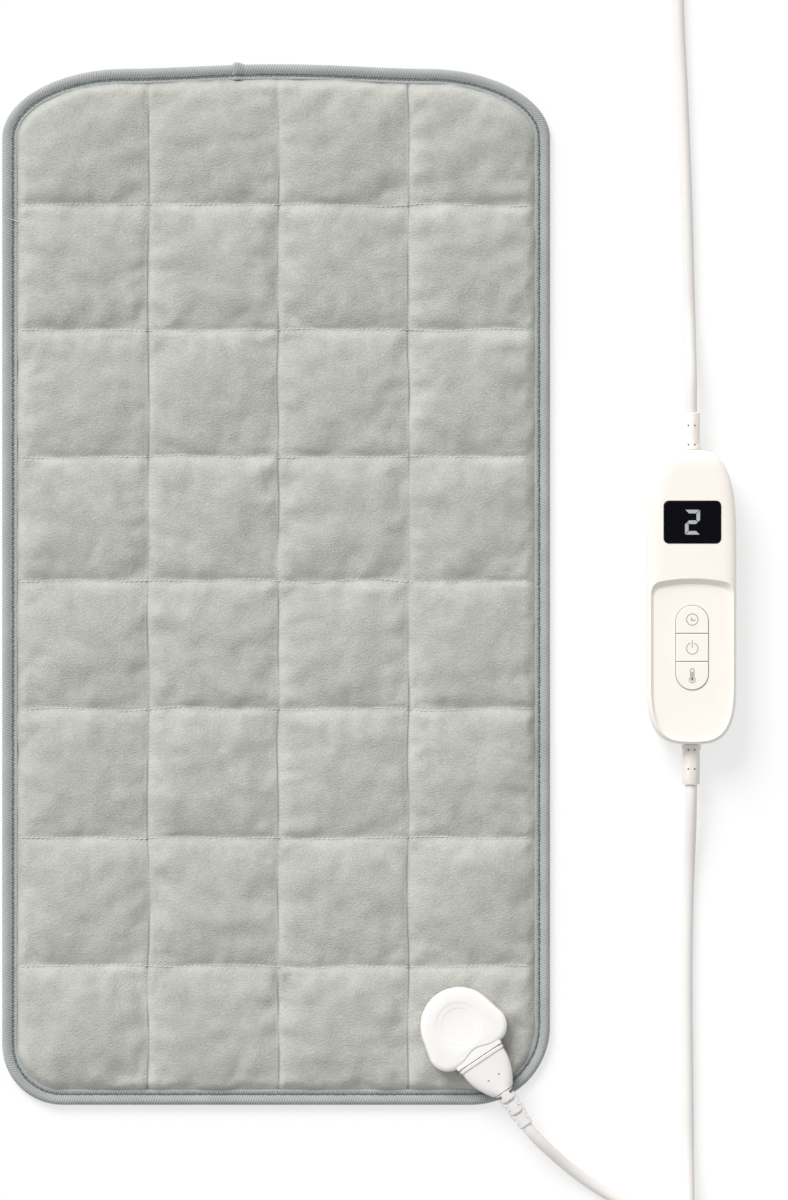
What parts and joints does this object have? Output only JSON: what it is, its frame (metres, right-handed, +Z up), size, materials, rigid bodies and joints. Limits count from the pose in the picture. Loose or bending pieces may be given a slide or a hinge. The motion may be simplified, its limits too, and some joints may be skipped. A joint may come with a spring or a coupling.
{
  "type": "heating pad with controller",
  "caption": "Quilted plush heating pad with a plug-in connector, a hand controller with display and push keys, and a coiled mains lead.",
  "frame": {"origin": "middle of the pad's underside, on the surface that it lies on", "axes": "+Z up from that surface, +Y along the pad away from its connector, +X across the pad towards the controller"},
  "size_m": [0.451, 0.8822, 0.0253],
  "materials": {
    "plush": "short grey-green plush pile",
    "binding_tape": "ribbed knitted tape",
    "felt": "non-woven felt",
    "heating_wire": "insulated heating wire",
    "connector_white": "moulded white plastic, fine satin",
    "lead_white": "soft off-white cable sheath",
    "plug_white": "moulded white plastic",
    "case_cream": "moulded cream-white plastic, fine matte",
    "key_cream": "moulded cream-white plastic, fine matte",
    "lens_black": "polished black window",
    "dark_plastic": "dark grey plastic",
    "board_green": "coated circuit board",
    "fuse_glass": "glass tube fuse",
    "component_red": "coloured component plastic",
    "brass": "plain brass",
    "steel": "zinc-plated steel"
  },
  "bodies": {
    "pad": {"pad_front_cover": "plush", "pad_back_cover": "plush", "pad_binding": "binding_tape", "front_wadding": "felt", "element_carrier": "felt", "heating_wire": "heating_wire", "socket_cover": "connector_white", "socket_base": "connector_white", "socket_screw_1": "steel", "socket_screw_2": "steel", "socket_pin_1": "brass", "socket_pin_2": "brass", "socket_pin_3": "brass"},
    "control_set": {"connector_plug_body": "connector_white", "connector_contact_1": "brass", "connector_contact_2": "brass", "connector_contact_3": "brass", "connector_strain_relief": "lead_white", "pad_lead_from_connector": "lead_white", "pad_lead_coil": "lead_white", "pad_lead_to_controller": "lead_white", "pad_lead_tie": "dark_plastic", "mains_lead": "lead_white", "mains_lead_coil": "lead_white", "mains_lead_end": "lead_white", "mains_lead_tie": "dark_plastic", "mains_plug_body": "plug_white", "mains_plug_pin_1": "brass", "mains_plug_pin_2": "brass", "case_upper": "case_cream", "case_lower": "case_cream", "case_screw_1": "steel", "case_screw_2": "steel", "case_screw_3": "steel", "case_screw_4": "steel", "display_lens": "lens_black", "display_module": "dark_plastic", "timer_switch": "dark_plastic", "power_switch": "dark_plastic", "temperature_switch": "dark_plastic", "circuit_board": "board_green", "mains_fuse": "fuse_glass", "film_capacitor": "component_red", "triac": "dark_plastic", "microcontroller": "dark_plastic", "mains_live_wire": "component_red", "mains_neutral_wire": "dark_plastic", "pad_live_wire": "component_red", "pad_neutral_wire": "dark_plastic", "strain_relief_mains": "lead_white", "strain_relief_pad": "lead_white"},
    "timer_button": {"timer_key": "key_cream", "timer_plunger": "plug_white"},
    "power_button": {"power_key": "key_cream", "power_plunger": "plug_white"},
    "temperature_button": {"temperature_key": "key_cream", "temperature_plunger": "plug_white"}
  },
  "joints": [
    {"name": "connector_pull", "type": "slide", "parent": "pad", "child": "control_set", "axis": [0.5592, -0.829, 0], "range_m": [0, 0.018]},
    {"name": "timer_press", "type": "slide", "parent": "control_set", "child": "timer_button", "axis": [0, 0, -1], "range_m": [0, 0.0005], "stiffness_N_per_m": 1500},
    {"name": "power_press", "type": "slide", "parent": "control_set", "child": "power_button", "axis": [0, 0, -1], "range_m": [0, 0.0005], "stiffness_N_per_m": 1500},
    {"name": "temperature_press", "type": "slide", "parent": "control_set", "child": "temperature_button", "axis": [0, 0, -1], "range_m": [0, 0.0005], "stiffness_N_per_m": 1500}
  ]
}
